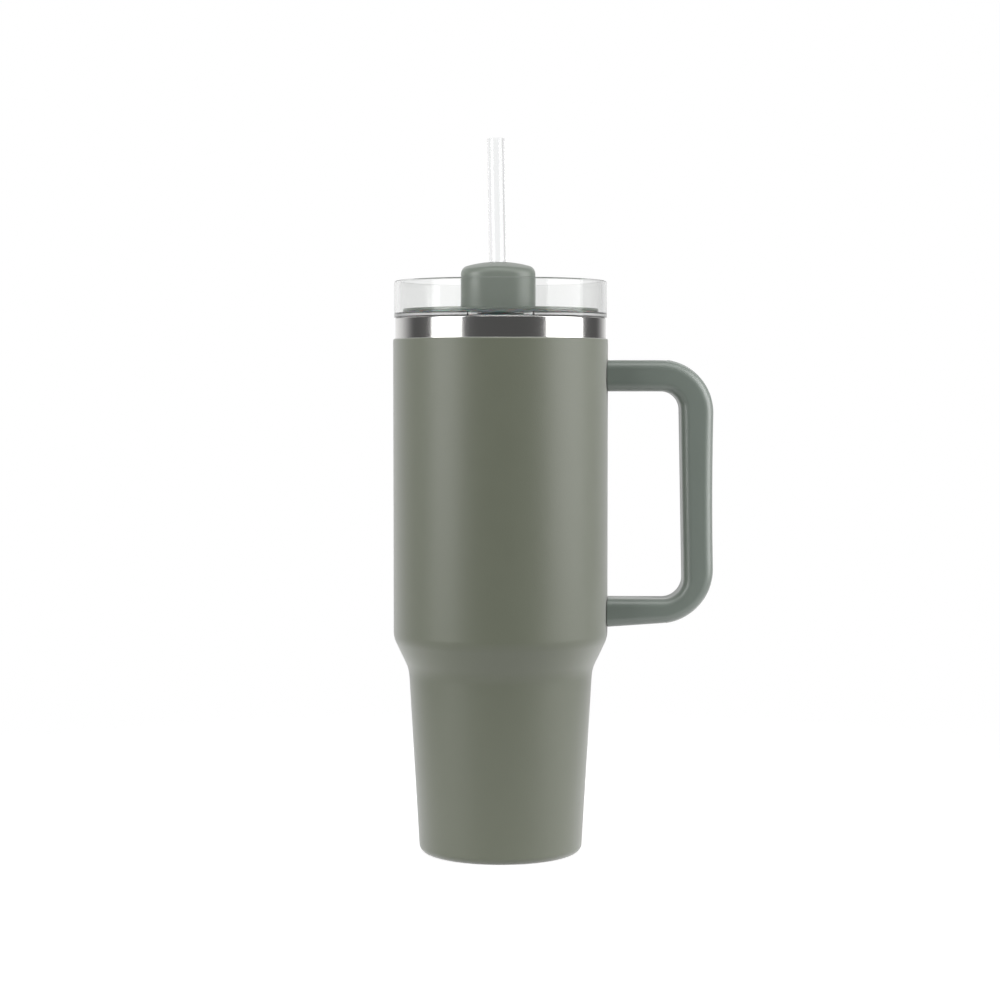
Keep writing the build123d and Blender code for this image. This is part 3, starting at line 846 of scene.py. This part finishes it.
FLOOR_R = 0.5
FLOOR_FADE = 0.10  # the floor is whole to this radius, and then fades into the background
FLOOR_GLOW = 0.02
FLOOR_GLOW_SEEN = 0.8  # the glow where the camera, or a reflection, sees the floor


def pale_floor():
    """A pale round floor whose edge melts into the white background."""
    made = bpy.data.materials.new("pale_floor")
    made.use_nodes = True
    nodes, links = made.node_tree.nodes, made.node_tree.links
    shader = nodes["Principled BSDF"]
    shader.inputs["Base Color"].default_value = (0.45, 0.45, 0.45, 1)
    shader.inputs["Emission Color"].default_value = (1, 1, 1, 1)
    shader.inputs["Roughness"].default_value = 0.6
    shader.inputs["Specular IOR Level"].default_value = 0.2
    coords = nodes.new("ShaderNodeTexCoord")
    distance = nodes.new("ShaderNodeVectorMath")
    distance.operation = "LENGTH"
    links.new(coords.outputs["Object"], distance.inputs[0])
    fade = nodes.new("ShaderNodeMapRange")
    fade.interpolation_type = "SMOOTHSTEP"
    fade.inputs["From Min"].default_value = FLOOR_FADE
    fade.inputs["From Max"].default_value = FLOOR_R
    fade.inputs["To Min"].default_value = 1
    fade.inputs["To Max"].default_value = 0
    links.new(distance.outputs["Value"], fade.inputs["Value"])
    links.new(fade.outputs["Result"], shader.inputs["Alpha"])
    path = nodes.new("ShaderNodeLightPath")
    glow = nodes.new("ShaderNodeMapRange")
    glow.inputs["To Min"].default_value = FLOOR_GLOW
    glow.inputs["To Max"].default_value = FLOOR_GLOW_SEEN
    seen_or_mirrored = nodes.new("ShaderNodeMath")
    seen_or_mirrored.operation = "MAXIMUM"
    links.new(path.outputs["Is Camera Ray"], seen_or_mirrored.inputs[0])
    links.new(path.outputs["Is Glossy Ray"], seen_or_mirrored.inputs[1])
    links.new(seen_or_mirrored.outputs["Value"], glow.inputs["Value"])
    links.new(glow.outputs["Result"], shader.inputs["Emission Strength"])
    return made


FLOOR_Z = -0.05 * MM
FLOOR_T = 2 * MM
floor = lathe(
    "floor",
    (0, FLOOR_Z, 0),
    (FLOOR_R, FLOOR_Z, 0),
    (FLOOR_R, FLOOR_Z - FLOOR_T, 0),
    (0, FLOOR_Z - FLOOR_T, 0),
)
dress(floor, pale_floor())


WHITE_AZIMUTH = math.radians(10)  # the white behind is this far left of straight behind
FRONT = 0.11  # how bright the world is in front
FRONT_THROUGH_CLEAR = 0.55  # the same, as seen through the lid and the straw


def studio_world():
    """White behind the object and dim in front of it, and plain white where the camera looks.

    What shows through the clear pieces is never as dim, so that they look clear from any side.
    """
    world = bpy.data.worlds.new("studio")
    bpy.context.scene.world = world
    world.use_nodes = True
    nodes, links = world.node_tree.nodes, world.node_tree.links
    lit = nodes["Background"]
    coords = nodes.new("ShaderNodeTexCoord")
    behind = nodes.new("ShaderNodeVectorMath")
    behind.operation = "DOT_PRODUCT"
    behind.inputs[1].default_value = (-math.sin(WHITE_AZIMUTH), math.cos(WHITE_AZIMUTH), 0)
    links.new(coords.outputs["Generated"], behind.inputs[0])
    depth = nodes.new("ShaderNodeMapRange")
    depth.interpolation_type = "SMOOTHSTEP"
    depth.inputs["From Min"].default_value = 0.45
    depth.inputs["From Max"].default_value = 1.0
    depth.inputs["To Max"].default_value = 1.0
    links.new(behind.outputs["Value"], depth.inputs["Value"])
    links.new(depth.outputs["Result"], lit.inputs["Color"])
    path = nodes.new("ShaderNodeLightPath")
    front = nodes.new("ShaderNodeMapRange")
    front.inputs["To Min"].default_value = FRONT
    front.inputs["To Max"].default_value = FRONT_THROUGH_CLEAR
    links.new(path.outputs["Is Transmission Ray"], front.inputs["Value"])
    links.new(front.outputs["Result"], depth.inputs["To Min"])
    seen = nodes.new("ShaderNodeBackground")
    either = nodes.new("ShaderNodeMixShader")
    seen.inputs["Color"].default_value = (1, 1, 1, 1)
    links.new(path.outputs["Is Camera Ray"], either.inputs["Fac"])
    links.new(lit.outputs["Background"], either.inputs[1])
    links.new(seen.outputs["Background"], either.inputs[2])
    links.new(either.outputs["Shader"], nodes["World Output"].inputs["Surface"])


def softbox(name, azimuth, distance, width, height, middle, radiance):
    """A soft light at an angle from the camera's side, facing the object's axis."""
    lamp = bpy.data.lights.new(name, "AREA")
    lamp.shape = "RECTANGLE"
    lamp.size, lamp.size_y = width, height
    lamp.energy = radiance * math.pi * width * height
    light = bpy.data.objects.new(name, lamp)
    angle = math.radians(azimuth)
    light.location = (distance * math.sin(angle), -distance * math.cos(angle), middle)
    light.rotation_euler = (TURN / 4, 0, angle)
    light.visible_camera = False
    bpy.context.scene.collection.objects.link(light)
    return light


studio_world()
softbox("left_softbox", -60, 1.0, 0.62, 1.2, 0.6, 5.0)
softbox("right_softbox", 74, 1.0, 0.87, 1.2, 0.6, 4.4)
overhead = softbox("overhead", 25, 0.5, 1.2, 0.5, 1.3, 3.0)
overhead.rotation_euler = (math.radians(23), 0, 0)

LENS = 86.0
EYE = Vector((-0.00026, -1.115, 0.2184))
AIM = Vector((-0.00026, 0, 0.1649))
camera_data = bpy.data.cameras.new("camera")
camera_data.lens = LENS
camera_data.sensor_width = 36
camera = bpy.data.objects.new("camera", camera_data)
camera.location = EYE
camera.rotation_euler = (AIM - EYE).to_track_quat("-Z", "Y").to_euler()
bpy.context.scene.collection.objects.link(camera)
bpy.context.scene.camera = camera
bpy.context.scene.view_settings.view_transform = "Standard"
